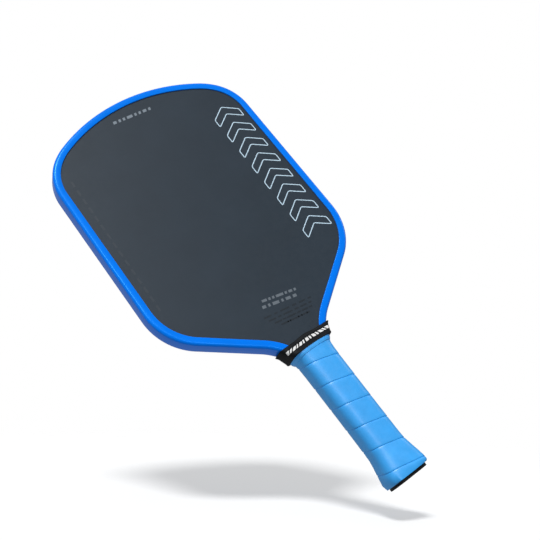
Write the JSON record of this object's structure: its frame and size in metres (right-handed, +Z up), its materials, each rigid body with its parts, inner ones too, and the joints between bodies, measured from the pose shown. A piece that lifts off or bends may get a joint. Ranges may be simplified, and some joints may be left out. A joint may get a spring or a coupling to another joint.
{
  "type": "pickleball paddle",
  "caption": "Pickleball paddle with a wide elongated carbon blade, moulded blue edge guard, rubber collar and a spiral-wrapped octagonal handle with a flared butt.",
  "frame": {"origin": "centre of the butt cap's flat end face, at the bottom of the handle", "axes": "+Z up the handle to the tip of the blade, +X across the blade, front hitting face towards -Y"},
  "size_m": [0.2016, 0.0288, 0.406],
  "materials": {
    "carbon_face": "satin black-grey carbon laminate with a fine peel-ply grit",
    "core_foam": "moulded expanded foam, fine closed cells",
    "ring_foam": "dense foam rubber strip",
    "guard_plastic": "semi-gloss moulded bright blue",
    "bond_tape": "double-sided foam tape",
    "shell_plastic": "moulded handle shell",
    "cap_plastic": "fine-textured black moulding",
    "badge_plastic": "plain glossy inlay, no marking",
    "staple_steel": "galvanised flat wire",
    "grip_fabric": "smooth tacky polyurethane wrap, sky blue",
    "underlay_tape": "thin non-woven tape",
    "finishing_vinyl": "thin sky-blue vinyl tape with fine ribs",
    "collar_rubber": "satin black elastic rubber with a plain pale pattern"
  },
  "bodies": {
    "root": {"core_panel": "core_foam", "perimeter_foam_ring": "ring_foam", "front_face_sheet": "carbon_face", "back_face_sheet": "carbon_face", "edge_tape": "bond_tape", "edge_guard": "guard_plastic", "front_handle_shell": "shell_plastic", "back_handle_shell": "shell_plastic", "butt_cap": "cap_plastic", "butt_badge": "badge_plastic", "grip_underlay": "underlay_tape", "grip_wrap": "grip_fabric", "finishing_tape": "finishing_vinyl", "rubber_collar": "collar_rubber", "butt_staple_front": "staple_steel", "butt_staple_back": "staple_steel", "grip_start_staple": "staple_steel"}
  },
  "joints": []
}
